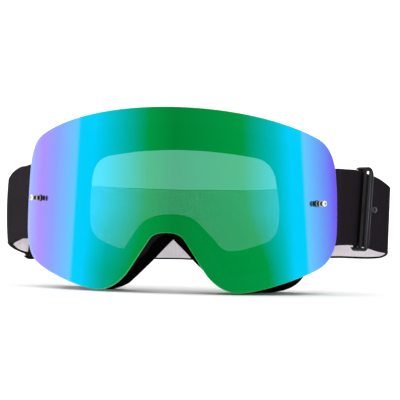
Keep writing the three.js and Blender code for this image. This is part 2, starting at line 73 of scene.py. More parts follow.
# How the webbing gives at a fold: how far the give reaches, how far its corners droop and
# lift, and how far it moves out at the middle of its width, by slope and by bulge.
FOLD_SPREAD, FOLD_DROOP, FOLD_LIFT, CORNER_POWER = 7.0, 2.2, 1.2, 5
FOLD_OUT_RIGHT, FOLD_OUT_LEFT, FOLD_SLOPE, FOLD_BULGE = 1.1, 0.4, 0.4, 1.1
BAR_GAP = 0.25             # between an outrigger's bar and the webbing round it
FOAM_SEED = 5              # mathutils' noise vectors change with the clock unless they are seeded
FOAM_GIVE, FOAM_GIVE_SIZE = 0.12, 9.0
WELD = 2e-6                # metres; corners nearer than this are one

# Right halves of the outlines, from the top centre round to the nose: a start, then
# [control, end] of each curve. The lens's is measured round its cylinder.
LENS_OUTLINE = [
    (0, 50.5),
    [(44.8, 50.5), (89.4, 37.4)],
    [(104.3, 33), (107.4, 18.5)],
    [(110.2, 4), (110, -13.5)],
    [(110, -27.2), (97, -34.3)],
    [(92, -37.1), (72.2, -42.8)],
    [(48.4, -49.7), (40, -49.7)],
    [(30.2, -49.7), (22.2, -40.4)],
    [(16, -31.3), (9.4, -21.2)],
    [(7, -17.9), (0, -17.9)],
]
PAD_OUTLINE = [
    (0, 43),
    [(26, 43), (50, 38)],
    [(67, 34), (71, 16)],
    [(73, 2), (73, -12)],
    [(76, -34), (70, -42.5)],
    [(65, -49.6), (52, -50.4)],
    [(46, -51), (40, -50.4)],
    [(33.5, -50.6), (26.6, -46.2)],
    [(17.3, -38.8), (8, -28.5)],
    [(3, -23.5), (0, -20.5)],
]
EYE_OUTLINE = [
    (0, 30.2),
    [(22, 30.2), (43, 27)],
    [(54.6, 25.2), (55.6, 10)],
    [(57.6, 0), (57, -8)],
    [(57, -17.3), (51.6, -21.2)],
    [(48, -23.5), (41, -25.5)],
    [(36, -27.5), (31, -27.5)],
    [(26.5, -27.5), (23, -22.5)],
    [(18, -16.5), (13, -11.5)],
    [(10, -7.8), (0, -7.8)],
]
CURVE_STEPS = [12, 4, 3, 4, 4, 4, 4, 2, 3]


def smoothstep(value, low, high):
    t = np.clip((value - low) / (high - low), 0, 1)
    return t * t * (3 - 2 * t)


def half_outline(shape, finer):
    points = [np.array(shape[0], float)]
    for steps, (control, end) in zip(CURVE_STEPS, shape[1:]):
        start, control, end = points[-1], np.array(control, float), np.array(end, float)
        for t in np.linspace(0, 1, steps * finer + 1)[1:]:
            points.append(start * (1 - t) ** 2 + control * 2 * t * (1 - t) + end * t * t)
    return np.array(points)


def outline(shape, inset=0.0, finer=2):
    """The whole closed outline, moved inwards by inset."""
    half = half_outline(shape, finer)
    loop = np.vstack([half, half[-2:0:-1] * [-1, 1]])
    run = np.roll(loop, -1, 0) - np.roll(loop, 1, 0)
    run /= np.linalg.norm(run, axis=1)[:, None]
    return loop + inset * np.column_stack([run[:, 1], -run[:, 0]])


def on_lens(s, z, depth):
    """A place on the lens: round the cylinder, up, and behind its front face."""
    angle, r = np.asarray(s) / LENS_RADIUS, LENS_RADIUS - depth
    return np.column_stack([r * np.sin(angle), LENS_RADIUS - r * np.cos(angle), z])


def face_depth(x, z):
    """How far back the wearer's face lies."""
    side = np.minimum(np.abs(x) / FACE_HALF, 1)
    brow = DEPTH_BROW + BROW_BEND * side**2
    cheek = DEPTH_NOSE + CHEEK_BEND * (3 * side**2 - 2 * side**3)
    return brow + (cheek - brow) * smoothstep(BROW_Z - z, 0, BROW_Z - NOSE_Z)


def lens_loop(inset, depth, finer=2):
    points = outline(LENS_OUTLINE, inset, finer)
    return on_lens(points[:, 0], points[:, 1], depth)


def face_loop(shape, inset, lift, finer=2):
    x, z = outline(shape, inset, finer).T
    flare = PAD_FLARE if shape is PAD_OUTLINE else 0.0
    beside_nose = np.where(z < 0, 1 - smoothstep(np.abs(x), 0, NOSE_HALF), 0)
    return np.column_stack([x, face_depth(x, z) + flare * beside_nose - lift, z])


# ---- making pieces --------------------------------------------------------------------

def new_piece(name, points, faces, body, looks, stands_for, material_of=None, sharp=60):
    """A smooth-shaded mesh from points in millimetres, riding on a body."""
    mesh = bpy.data.meshes.new(name)
    mesh.from_pydata(((points + OFFSET) / 1000).tolist(), [], faces)
    for look in looks:
        mesh.materials.append(look)
    if material_of is not None:
        mesh.polygons.foreach_set("material_index", material_of)
    bm = bmesh.new()
    bm.from_mesh(mesh)
    bmesh.ops.remove_doubles(bm, verts=bm.verts, dist=WELD)
    bmesh.ops.recalc_face_normals(bm, faces=bm.faces)
    bm.to_mesh(mesh)
    bm.free()
    mesh.shade_smooth()
    mesh.set_sharp_from_angle(angle=math.radians(sharp))
    piece = bpy.data.objects.new(name, mesh)
    bpy.context.scene.collection.objects.link(piece)
    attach(piece, body)
    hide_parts(*stands_for)
    return piece


def ring_faces(rings, count):
    """Quads of a closed ring whose section's corners are loops of count points."""
    faces = []
    for j in range(rings):
        here, after = j * count, (j + 1) % rings * count
        for i in range(count):
            k = (i + 1) % count
            faces.append((here + i, here + k, after + k, after + i))
    return faces


def set_uv(piece, name, coordinate):
    """A UV map, in millimetres, from a function of each vertex's place."""
    mesh = piece.data
    places = np.array([v.co for v in mesh.vertices]) * 1000 - OFFSET
    uv = coordinate(places)
    layer = mesh.uv_layers.new(name=name)
    corners = np.zeros(len(mesh.loops), int)
    mesh.loops.foreach_get("vertex_index", corners)
    layer.data.foreach_set("uv", uv[corners].ravel())


def moulded(node, body, looks, bevel=0.3, sharp=35, pick=None):
    """A hard piece: the CAD node's shape with rounded edges."""
    bm = bmesh.new()
    bm.from_mesh(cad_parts[node].data)
    bmesh.ops.remove_doubles(bm, verts=bm.verts, dist=WELD)
    flat = math.radians(0.6)
    bmesh.ops.dissolve_limit(bm, angle_limit=flat, verts=bm.verts, edges=bm.edges)
    bm.verts.index_update()
    points = np.array([v.co for v in bm.verts]) * 1000 - OFFSET
    faces = [tuple(v.index for v in f.verts) for f in bm.faces]
    bm.free()
    chosen = None
    if pick:
        chosen = [pick(points[list(f)].mean(0)) for f in faces]
    name = f"{node}_moulded"
    piece = new_piece(name, points, faces, body, looks, [node], chosen, sharp)
    edge = piece.modifiers.new("edges", "BEVEL")
    edge.width = bevel / 1000
    edge.segments = 2
    edge.limit_method = "ANGLE"
    edge.angle_limit = math.radians(sharp)
    edge.harden_normals = True
    return piece


# ---- materials --------------------------------------------------------------------

class Look:
    """A node material being built."""

    def __init__(self, name):
        self.material = bpy.data.materials.new(name)
        self.material.use_nodes = True
        self.tree = self.material.node_tree
        self.tree.nodes.clear()
        self.out = self.node("ShaderNodeOutputMaterial")

    def node(self, kind, inputs=None, **settings):
        made = self.tree.nodes.new(kind)
        for key, value in settings.items():
            setattr(made, key, value)
        for key, value in (inputs or {}).items():
            if isinstance(value, bpy.types.NodeSocket):
                self.tree.links.new(value, made.inputs[key])
            else:
                made.inputs[key].default_value = value
        return made

    def math(self, operation, a, b=0.0):
        return self.node("ShaderNodeMath", {0: a, 1: b}, operation=operation).outputs[0]

    def noise(self, scale, detail, roughness=0.5, *, vector):
        inputs = {"Vector": vector, "Scale": scale, "Detail": detail, "Roughness": roughness}
        return self.node("ShaderNodeTexNoise", inputs).outputs["Fac"]

    def place(self):
        return self.node("ShaderNodeTexCoord").outputs["Object"]

    def uv(self, name):
        """The two coordinates of a UV map."""
        place = self.node("ShaderNodeUVMap", uv_map=name).outputs[0]
        return self.node("ShaderNodeSeparateXYZ", {0: place}).outputs[:2]

    def fade(self, value, start, end, low=0.0, high=1.0):
        """From low, where value is at start, to high, where it is at end."""
        inputs = {"Value": value, "From Min": start, "From Max": end, "To Min": low, "To Max": high}
        return self.node("ShaderNodeMapRange", inputs).outputs[0]

    def scaled(self, value, factor, base):
        return self.math("ADD", self.math("MULTIPLY", value, factor), base)

    def ramp(self, value, stops):
        made = self.node("ShaderNodeValToRGB", {"Fac": value})
        ramp = made.color_ramp
        while len(ramp.elements) < len(stops):
            ramp.elements.new(1.0)
        for element, (position, colour) in zip(ramp.elements, stops):
            element.position = position
            element.color = (*colour, 1)
        return made.outputs["Color"]

    def mix(self, share, a, b):
        made = self.node("ShaderNodeMix", data_type="RGBA")
        for key, value in ((0, share), (6, a), (7, b)):
            if isinstance(value, bpy.types.NodeSocket):
                self.tree.links.new(value, made.inputs[key])
            else:
                made.inputs[key].default_value = value
        return made.outputs[2]

    def bump(self, height, strength, distance):
        """A bump whose distance is in millimetres."""
        inputs = {"Height": height, "Strength": strength, "Distance": distance / 1000}
        return self.node("ShaderNodeBump", inputs).outputs["Normal"]

    def surface(self, **inputs):
        named = {key.replace("_", " "): value for key, value in inputs.items()}
        return self.node("ShaderNodeBsdfPrincipled", named).outputs["BSDF"]

    def finish(self, shader):
        self.tree.links.new(shader, self.out.inputs["Surface"])
        return self.material


def linear(r, g, b):
    """Linear light from 8-bit display colour."""
    return tuple(
        c / 12.92 if c <= 0.04045 else ((c + 0.055) / 1.055) ** 2.4
        for c in (r / 255, g / 255, b / 255)
    )


def rgba(colour):
    return (*colour, 1)


# The mirror's colours, and where each band has its centre, as distances round the lens.
# The coating's own colours, each placed where one camera sees it: their layout paints the colour shift
# with viewing angle, a painted reflection.
VIOLET, LILAC, PERIWINKLE = (110, 75, 240), (170, 135, 250), (140, 160, 255)
SKY, CYAN, TEAL = (100, 200, 255), (0, 205, 250), (0, 185, 190)
GREEN, DEEP_GREEN = (0, 150, 65), (0, 130, 50)
LENS_COLOURS = [
    (-105, PERIWINKLE),
    (-90, LILAC),
    (-75, PERIWINKLE),
    (-58, SKY),
    (-56, CYAN),
    (-45, CYAN),
    (-30, TEAL),
    (-11, GREEN),
    (4, DEEP_GREEN),
    (42, GREEN),
    (62, TEAL),
    (72, CYAN),
    (80, CYAN),
    (82, SKY),
    (108, VIOLET),
]
MIRROR_GAIN = 0.92             # the mirror's share of the light it returns
# How far the colour bands lean, at the left step and at the right one, and where those are.
COLOUR_LEAN, LEAN_STEPS = (0.047, -0.105), (-58, 80)
# The green middle spreads towards the lens's bottom: over these heights, and within these
# distances of its centre.
GREEN_CENTRE, GREEN_SPREAD = 8.0, 0.35
GREEN_HEIGHTS, GREEN_REACH = (-5, -40), (62, 42)
CLEAR_SHARE, CLEAR_TINT = 0.24, (0.43, 0.93, 1.0, 1)   # what the mirror lets through
BACK_CLEAR_SHARE, PRINT_FADE = 0.72, 0.3
CUT_GREEN = (0.0, 0.40, 0.05, 1)


def lens_colour(look):
    """The mirror's colour: leaning bands across the lens. The coating is coloured, but the bands paint
    its shift with viewing angle as one camera sees it, as painted reflection.
    """
    around, height = look.uv("surface")
    slant = look.fade(around, *LEAN_STEPS, *COLOUR_LEAN)
    s = look.math("SUBTRACT", around, look.math("MULTIPLY", height, slant))
    off_centre = look.math("SUBTRACT", s, GREEN_CENTRE)
    near = look.fade(look.math("ABSOLUTE", off_centre), *GREEN_REACH)
    low = look.fade(height, *GREEN_HEIGHTS)
    squeeze = look.math("MULTIPLY", look.math("MULTIPLY", near, low), GREEN_SPREAD)
    off_centre = look.math("MULTIPLY", off_centre, look.math("SUBTRACT", 1.0, squeeze))
    s = look.math("ADD", off_centre, GREEN_CENTRE)
    share = look.math("DIVIDE", look.math("ADD", s, LENS_TIP), 2 * LENS_TIP)
    stops = []
    for s_mm, colour in LENS_COLOURS:
        tone = tuple(min(c * MIRROR_GAIN, 1.0) for c in linear(*colour))
        stops.append(((s_mm + LENS_TIP) / (2 * LENS_TIP), tone))
    return look.ramp(share, stops)


def lens_front_look():
    """A mirror coating that lets a little light through."""
    look = Look("mirror_lens")
    place = look.place()
    haze = look.noise(55, 3, vector=place)
    wave = look.noise(28, 2, vector=place)
    mirror = look.surface(
        Base_Color=lens_colour(look),
        Metallic=1.0,
        Roughness=look.fade(haze, 0.3, 0.7, 0.035, 0.075),
        Normal=look.bump(wave, 0.05, 0.02),
    )
    clear = look.node("ShaderNodeBsdfTransparent", {"Color": CLEAR_TINT})
    mixed = look.node("ShaderNodeMixShader", {0: CLEAR_SHARE, 1: mirror, 2: clear.outputs[0]})
    return look.finish(mixed.outputs[0])


def lens_edge_look():
    """The sawn edge of the lens, where light gathers green."""
    look = Look("lens_cut_edge")
    sawn = look.noise(2600, 2, vector=look.place())
    return look.finish(look.surface(
        Base_Color=look.mix(0.7, lens_colour(look), CUT_GREEN),
        Specular_IOR_Level=0.1,
        Roughness=look.scaled(sawn, 0.2, 0.15),
        Normal=look.bump(sawn, 0.2, 0.02),
    ))


def lens_back_look():
    """Dark inside the printed border, and mostly clear within it."""
    look = Look("lens_inner_face")
    film = look.noise(140, 3, vector=look.place())
    tint = look.mix(film, (0.010, 0.020, 0.020, 1), (0.018, 0.034, 0.034, 1))
    dark = look.surface(
        Base_Color=tint,
        Roughness=look.scaled(film, 0.06, 0.06),
    )
    fog = look.noise(38, 3, 0.55, vector=look.place())
    haze = look.mix(fog, (0.98, 0.86, 0.90, 1), (0.74, 0.92, 0.86, 1))
    clear = look.node("ShaderNodeBsdfTransparent", {"Color": haze})
    inward, _ = look.uv("border")
    open_share = look.fade(inward, PRINT_WIDTH - PRINT_FADE, PRINT_WIDTH, 0.0, BACK_CLEAR_SHARE)
    mixed = look.node("ShaderNodeMixShader", {0: open_share, 1: dark, 2: clear.outputs[0]})
    return look.finish(mixed.outputs[0])


def plastic_look(name, colour, roughness, grain, shine):
    """Moulded plastic: fine spark-eroded grain, paler patches of wear."""
    look = Look(name)
    place = look.place()
    cloud = look.noise(70, 4, vector=place)
    spark = look.noise(2400, 3, 0.6, vector=place)
    tone = look.mix(cloud, rgba([c * 0.8 for c in colour]), rgba([c * 1.3 for c in colour]))
    return look.finish(look.surface(
        Base_Color=tone,
        Roughness=look.scaled(cloud, 0.16, roughness - 0.08),
        Specular_IOR_Level=shine,
        Normal=look.bump(spark, grain, 0.05),
    ))


def frame_look():
    """Soft black urethane, a little paler along the rim behind the lens, and painted near-black
    farther back, as shade.
    """
    look = Look("frame_black")
    place = look.place()
    cloud = look.noise(70, 4, vector=place)
    spark = look.noise(2400, 3, 0.6, vector=place)
    behind, _ = look.uv("surface")
    # Within RIM_PALE of the lens's front the frame keeps its paler tone; farther back it is painted
    # near-black, as shade.
    deep = look.fade(behind, RIM_PALE, RIM_PALE + RIM_FADE)
    pale_rim = look.mix(cloud, (0.014, 0.011, 0.0155, 1), (0.021, 0.017, 0.023, 1))
    black = look.mix(cloud, (0.0018, 0.0015, 0.0018, 1), (0.0032, 0.0028, 0.0032, 1))
    return look.finish(look.surface(
        Base_Color=look.mix(deep, pale_rim, black),
        Roughness=look.scaled(cloud, 0.16, 0.5),
        Specular_IOR_Level=0.0,
        Normal=look.bump(spark, 0.35, 0.05),
    ))


def foam_look(name, colour, cells, depth):
    """Open-cell foam: small round cells, with painted shade in their bottoms."""
    look = Look(name)
    place = look.place()
    cell = look.node("ShaderNodeTexVoronoi", {"Vector": place, "Scale": cells}).outputs["Distance"]
    cloud = look.noise(60, 3, vector=place)
    pore_shade = look.ramp(cell, [(0.0, [c * 0.4 for c in colour]), (0.55, colour)])
    tone = look.mix(0.35, pore_shade, look.mix(cloud, (0, 0, 0, 1), rgba([c * 2 for c in colour])))
    return look.finish(look.surface(
        Base_Color=tone,
        Roughness=look.scaled(cloud, 0.1, 0.86),
        Specular_IOR_Level=0.0,
        Normal=look.bump(cell, 0.8, depth),
    ))


def fleece_look():
    """Brushed fleece with a soft nap."""
    look = Look("fleece")
    place = look.place()
    nap = look.noise(1500, 4, 0.65, vector=place)
    patches = look.noise(120, 3, vector=place)
    tone = look.mix(patches, (0.006, 0.005, 0.006, 1), (0.014, 0.012, 0.014, 1))
    return look.finish(look.surface(
        Base_Color=tone,
        Roughness=look.scaled(nap, 0.1, 0.88),
        Specular_IOR_Level=0.1,
        Sheen_Weight=0.25,
        Sheen_Roughness=0.5,
        Sheen_Tint=(0.8, 0.8, 0.85, 1),
        Normal=look.bump(nap, 0.9, 0.3),
    ))


def webbing_look(name, dark, light):
    """Elastic webbing: ribs across the strap, crossed by fine yarns along it."""
    look = Look(name)
    uv = look.node("ShaderNodeUVMap", uv_map="surface").outputs[0]
    rib_inputs = {"Vector": uv, "Scale": 0.36, "Distortion": 0.6, "Detail": 2.0, "Detail Scale": 1.5}
    ribs = look.node("ShaderNodeTexWave", rib_inputs, bands_direction="X").outputs["Fac"]
    yarn_inputs = {"Vector": uv, "Scale": 0.5, "Distortion": 0.4, "Detail": 1.0}
    yarns = look.node("ShaderNodeTexWave", yarn_inputs, bands_direction="Y").outputs["Fac"]
    slub = look.noise(0.45, 4, 0.6, vector=uv)
    weave = look.math("MULTIPLY", ribs, look.scaled(yarns, 0.6, 0.4))
    height = look.math("ADD", weave, look.math("MULTIPLY", slub, 0.35))
    # The tone follows the weave's height, with random slub: painted shade in the low parts between
    # ribs and yarns.
    tone = look.mix(look.math("MULTIPLY", height, 0.8), rgba(dark), rgba(light))
    return look.finish(look.surface(
        Base_Color=tone,
        Roughness=look.scaled(slub, 0.15, 0.78),
        Specular_IOR_Level=0.05,
        Normal=look.bump(height, 0.55, 0.22),
    ))


def steel_look():
    """Nickel-plated steel with fine turning marks."""
    look = Look("post_metal")
    place = look.place()
    turned = look.noise(3200, 2, vector=place)
    stain = look.noise(500, 3, vector=place)
    tone = look.mix(stain, (0.42, 0.39, 0.33, 1), (0.60, 0.57, 0.51, 1))
    return look.finish(look.surface(
        Base_Color=tone,
        Metallic=1.0,
        Roughness=look.scaled(turned, 0.12, 0.1),
        Normal=look.bump(turned, 0.15, 0.02),
    ))


# Tone of a tear-off post against height off the lens: painted shade in its grooves and painted
# highlights on its beads.
POST_SHADE_AND_HIGHLIGHTS = [
    (0.3, (0.06, 0.05, 0.04)),
    (0.8, (0.30, 0.26, 0.20)),
    (1.1, (0.012, 0.012, 0.016)),
    (2.2, (0.02, 0.018, 0.018)),
    (2.5, (0.75, 0.66, 0.48)),
    (3.05, (0.62, 0.54, 0.38)),
    (3.35, (0.035, 0.04, 0.02)),
    (4.5, (0.06, 0.06, 0.03)),
    (4.85, (0.70, 0.64, 0.50)),
    (5.7, (0.95, 0.90, 0.78)),
    (6.2, (0.60, 0.54, 0.42)),
]


# Painted shade in the tip's dimple: black within these distances of the post's axis.
DIMPLE_SHADE_REACH, DIMPLE_SHADE = (0.35, 0.6), (0.02, 0.02, 0.02, 1)


def post_look():
    """Turned metal, with painted shade in its grooves and tip dimple and painted highlights on its
    beads.
    """
    look = Look("post_metal_turned")
    height, radius = look.uv("surface")
    share = look.math("DIVIDE", height, POST_TOP)
    shade_and_highlights = look.ramp(share, [(h / POST_TOP, tone) for h, tone in POST_SHADE_AND_HIGHLIGHTS])
    tone = look.mix(look.fade(radius, *DIMPLE_SHADE_REACH), DIMPLE_SHADE, shade_and_highlights)
    turned = look.noise(3200, 2, vector=look.place())
    return look.finish(look.surface(
        Base_Color=tone,
        Metallic=1.0,
        Roughness=look.scaled(turned, 0.12, 0.12),
        Normal=look.bump(turned, 0.15, 0.02),
    ))


LENS_FRONT, LENS_EDGE, LENS_BACK = lens_front_look(), lens_edge_look(), lens_back_look()
FRAME = frame_look()
HARD = plastic_look("hard_plastic", (0.0035, 0.003, 0.0035), 0.5, 0.2, 0.06)
# The slider's far bar is black plastic painted grey as a highlight.
SLIDER_HIGHLIGHT = plastic_look("slider_grey", (0.058, 0.056, 0.064), 0.5, 0.25, 0.15)
GASKET = foam_look("gasket_foam", (0.006, 0.006, 0.006), 1500, 0.15)
FACE_FOAM = foam_look("face_foam", (0.0022, 0.002, 0.002), 1100, 0.3)
VENT_FOAM = foam_look("vent_foam", (0.007, 0.007, 0.008), 700, 0.5)
FLEECE = fleece_look()
WEB = webbing_look("webbing", (0.001, 0.0006, 0.001), (0.018, 0.012, 0.018))
LINING = webbing_look("strap_lining", (0.76, 0.70, 0.73), (0.97, 0.92, 0.95))
STEEL, POST_STEEL = steel_look(), post_look()

# ---- lens --------------------------------------------------------------------

LENS_COLUMNS, LENS_ROWS = 120, 24
# Inset from the outline and depth behind the front face, front to back round the cut edge.
LENS_RIM = [(0.3, 0.0), (0.1, 0.08), (0.0, 0.28), (0.0, 1.3), (0.1, 1.52), (0.3, LENS_THICK)]


def lens_columns(inset):
    """Upper and lower edge of each column of the lens, left to right, as (s, z)."""
    half = outline(LENS_OUTLINE, inset, 6)
    half = half[: len(half) // 2 + 1]
    tip = int(half[:, 0].argmax())
    s = half[tip, 0] * np.sin(np.linspace(0, math.pi / 2, LENS_COLUMNS + 1))
    above = np.interp(s, half[: tip + 1, 0], half[: tip + 1, 1])
    below = np.interp(s, half[tip:, 0][::-1], half[tip:, 1][::-1])

    def both(half_row, sign):
        return np.concatenate([sign * half_row[:0:-1], half_row])

    return both(s, -1), both(above, 1), both(below, 1)


def make_lens():
    """The lens's front and back faces, and the rounded edge between them."""
    points, faces, kinds = [], [], []
    columns = 2 * LENS_COLUMNS + 1

    def strips(rows, kind):
        base = sum(len(p) for p in points)
        points.extend(rows)
        for r in range(len(rows) - 1):
            a, b = base + r * columns, base + (r + 1) * columns
            for c in range(columns - 1):
                faces.append((a + c, a + c + 1, b + c + 1, b + c))
                kinds.append(kind)

    for (inset, depth), kind in ((LENS_RIM[0], 0), (LENS_RIM[-1], 2)):
        s, above, below = lens_columns(inset)
        shares = np.linspace(0, 1, LENS_ROWS + 1)
        strips([on_lens(s, below + (above - below) * t, depth) for t in shares], kind)
    edges = [(lens_columns(inset), depth) for inset, depth in LENS_RIM]
    strips([on_lens(s, above, depth) for (s, above, below), depth in edges], 1)
    strips([on_lens(s, below, depth) for (s, above, below), depth in edges], 1)
    looks = [LENS_FRONT, LENS_EDGE, LENS_BACK]
    lens = new_piece(
        "lens_mirrored", np.vstack(points), faces, "lens_unit", looks,
        ["lens"], kinds, 50,
    )
    set_uv(lens, "surface", flattened)
    set_uv(lens, "border", border)


def flattened(places):
    """(distance round the lens, height) of places on the lens."""
    s = LENS_RADIUS * np.arctan2(places[:, 0], LENS_RADIUS - places[:, 1])
    return np.column_stack([s, places[:, 2]])


def border(places):
    """(distance in from the lens's edge, 0)."""
    edge = outline(LENS_OUTLINE, 0, 6)
    flat = flattened(places)
    inward = np.sqrt(((flat[:, None] - edge[None]) ** 2).sum(2)).min(1)
    return np.column_stack([inward, 0 * inward])


make_lens()

# ---- tear-off posts ---------------------------------------------------------------------------------

# Distance from the axis, then height off the lens, from the tail behind the nut to the tip.
POST_PROFILE = [
    (0, -4.2), (0.85, -4.2), (1.0, -4.0), (1.0, 0.3), (1.75, 0.3), (1.9, 0.42), (1.9, 0.72),
    (1.75, 0.9), (1.35, 1.08), (1.12, 1.45), (1.1, 1.8), (1.15, 2.1), (1.5, 2.36),
    (1.72, 2.56), (1.75, 2.8), (1.72, 3.04), (1.5, 3.22), (1.12, 3.48), (1.02, 3.8),
    (1.0, 4.2), (1.1, 4.52), (1.5, 4.76), (1.68, 5.0), (1.7, 5.35), (1.66, 5.7),
    (1.45, 6.02), (1.0, 6.24), (0.62, 6.29), (0.55, 6.2), (0.35, 6.0), (0, 5.9),
]
POST_SIDES = 40


def make_post(name, side):
    """A post turned about an axis that stands square off the lens."""
    angle = side * POST_S / LENS_RADIUS
    outwards = np.array([math.sin(angle), -math.cos(angle), 0])
    across = np.array([math.cos(angle), math.sin(angle), 0])
    up = np.array([0, 0, 1.0])
    foot = on_lens([side * POST_S], [POST_Z], 0)[0]
    points = []
    for r, h in POST_PROFILE:
        for i in range(POST_SIDES):
            turn = 2 * math.pi * i / POST_SIDES
            arm = across * math.cos(turn) + up * math.sin(turn)
            points.append(foot + outwards * h + arm * r)
    faces = ring_faces(len(POST_PROFILE), POST_SIDES)[: -POST_SIDES]
    post = new_piece(
        f"tear_off_post_{name}_turned", np.array(points), faces, "lens_unit",
        [POST_STEEL], [f"tear_off_post_{name}"], None, 40,
    )

    def height_and_radius(places):
        height = (places - foot) @ outwards
        radius = np.linalg.norm(places - foot - height[:, None] * outwards, axis=1)
        return np.column_stack([height, radius])

    set_uv(post, "surface", height_and_radius)


SIDES = {"right": 1, "left": -1}
for name, side in SIDES.items():
    make_post(name, side)
    moulded(f"post_nut_{name}", "lens_unit", [STEEL], 0.2)
    for height in ("upper", "lower"):
        moulded(f"lens_peg_{height}_{name}", "lens_unit", [HARD], 0.3)

# ---- frame and foam --------------------------------------------------------------------

def behind_lens(places):
    """(depth behind the lens's front face, 0)."""
    depth = LENS_RADIUS - np.hypot(places[:, 0], LENS_RADIUS - places[:, 1])
    return np.column_stack([depth, 0 * depth])


set_uv(moulded("frame_shell", "frame", [FRAME], 0.5), "surface", behind_lens)
for name in SIDES:
    moulded(f"pivot_pin_{name}", "frame", [HARD], 0.3)
    for place in ("upper_inner", "upper_outer", "lower"):
        plug = moulded(f"vent_foam_{place}_{name}", "frame", [VENT_FOAM], 0.4)


def soften(points):
    """Moves points a little, as soft foam never lies quite true."""
    noise.seed_set(FOAM_SEED)
    moved = points.copy()
    for i, p in enumerate(points):
        moved[i] += FOAM_GIVE * np.array(noise.noise_vector(Vector(p) / FOAM_GIVE_SIZE))
    return moved


def make_gasket():
    """A soft ring between the frame's rim and the lens."""
    inner = RIM_INSET + RIM_WIDTH - 0.4
    outer = RIM_INSET + 0.2
    middle = (GASKET_FRONT + GASKET_BACK) / 2
    section = [
        (outer + 0.5, GASKET_FRONT), (inner - 0.5, GASKET_FRONT), (inner - 0.1, GASKET_FRONT + 0.25),
        (inner + 0.1, middle), (inner - 0.1, GASKET_BACK - 0.25), (inner - 0.5, GASKET_BACK),
        (outer + 0.5, GASKET_BACK), (outer + 0.1, GASKET_BACK - 0.25), (outer - 0.1, middle),
        (outer + 0.1, GASKET_FRONT + 0.25),
    ]
    loops = [lens_loop(inset, depth) for inset, depth in section]
    faces = ring_faces(len(loops), len(loops[0]))
    ring = new_piece(
        "lens_gasket_foam", np.vstack(loops), faces, "frame", [GASKET],
        ["lens_gasket"],
    )


make_gasket()


def foam_layer(node, front, back, look, bulge):
    """A die-cut ring of foam, its front and back given as distances off the wearer's face.

    Its cut sides bulge and its edges are rounded.
    """
    r = min(0.9, (front - back) * 0.32)
    middle = (front + back) / 2
    corner = [(1.0, 0.0), (0.5, 0.13), (0.13, 0.5), (0.0, 1.0)]
    outer = [(r * a, front - r * b) for a, b in corner]
    outer += [(-bulge, middle)]
    outer += [(r * a, back + r * b) for a, b in reversed(corner)]
    loops = [face_loop(PAD_OUTLINE, inset, lift, 3) for inset, lift in outer]
    inner = [face_loop(EYE_OUTLINE, -inset, lift, 3) for inset, lift in reversed(outer)]
    across = (0.12, 0.3, 0.5, 0.7, 0.88)
    back_face = [loops[-1] * (1 - t) + inner[0] * t for t in across]
    front_face = [inner[-1] * (1 - t) + loops[0] * t for t in across]
    rings = [*loops, *back_face, *inner, *front_face]
    points = soften(np.vstack(rings))
    faces = ring_faces(len(rings), len(rings[0]))
    pad = new_piece(f"{node}_pad", points, faces, "frame", [look], [node])


foam_layer("face_foam_base", 10, 5.4, FACE_FOAM, 0.35)
foam_layer("face_foam_middle", 5, 2.3, FACE_FOAM, 0.3)
foam_layer("face_fleece", 1.9, 0, FLEECE, 0.25)

# ---- strap --------------------------------------------------------------------

to_bar = BAR - FOLD
TANGENT = math.atan2(to_bar[1], to_bar[0]) + math.acos(FOLD_R / np.linalg.norm(to_bar))
RUN_NORMAL = np.array([math.cos(TANGENT), math.sin(TANGENT)])
RUN_DIRECTION = np.array([-RUN_NORMAL[1], RUN_NORMAL[0]])
RUN_LENGTH = math.sqrt(to_bar @ to_bar - FOLD_R**2)
BAR_OFFSET = BAR_R + BAR_GAP + STRAP_THICK / 2


def middle_line():
    """[place, outward normal, distance from the bar] of the right half, seen from above."""
    line = []
    for run in [*np.arange(0, LOOP_TAPER, 0.75), *np.linspace(LOOP_TAPER, RUN_LENGTH, 26)]:
        line.append((BAR + RUN_DIRECTION * run, RUN_NORMAL, run))
    for angle in np.linspace(TANGENT, math.pi / 2, 25)[1:]:
        normal = np.array([math.cos(angle), math.sin(angle)])
        line.append((FOLD + normal * FOLD_R, normal, RUN_LENGTH))
    for x in [*np.linspace(FOLD[0], REAR_STRAIGHT, 13)[1:-1], *np.linspace(REAR_STRAIGHT, 0, 33)]:
        swing = math.pi * min(x / REAR_STRAIGHT, 1)
        y = FOLD[1] + FOLD_R + REAR_BOW / 2 * (1 + math.cos(swing))
        slope = -REAR_BOW / 2 * (math.pi / REAR_STRAIGHT) * math.sin(swing)
        normal = np.array([-slope, 1]) / math.hypot(slope, 1)
        line.append((np.array([x, y]), normal, RUN_LENGTH))
    return line


FLIP = np.array([-1, 1])
RIGHT_LINE = middle_line()
LEFT_LINE = [(p * FLIP, n * FLIP, run) for p, n, run in RIGHT_LINE[-2::-1]]


def strap_mid_z(x, y):
    """Height of the middle of the strap's width."""
    share = np.clip((y - BAR[1]) / (FOLD[1] + FOLD_R - BAR[1]), 0, 1)
    bow = STRAP_BOW * 4 * share * (1 - share)
    behind = smoothstep(y, SAG_FRONT, FOLD[1] + FOLD_R)
    sag = SAG_DROP * smoothstep(x, SAG_START, SAG_FULL) * (1 - smoothstep(x, SAG_LEAVES, SAG_GONE))
    return STRAP_MID_Z - STRAP_DROP * (y - PIVOT_Y) + bow - sag * behind


def layer(spot, sign):
    """A spot of the middle line moved to the strap's outer layer, or its inner one for -1."""
    place, normal, run = spot
    close = min(run / LOOP_TAPER, 1)
    offset = LAYER_OFFSET + (BAR_OFFSET - LAYER_OFFSET) * (1 + math.cos(math.pi * close)) / 2
    return place + normal * sign * offset, normal


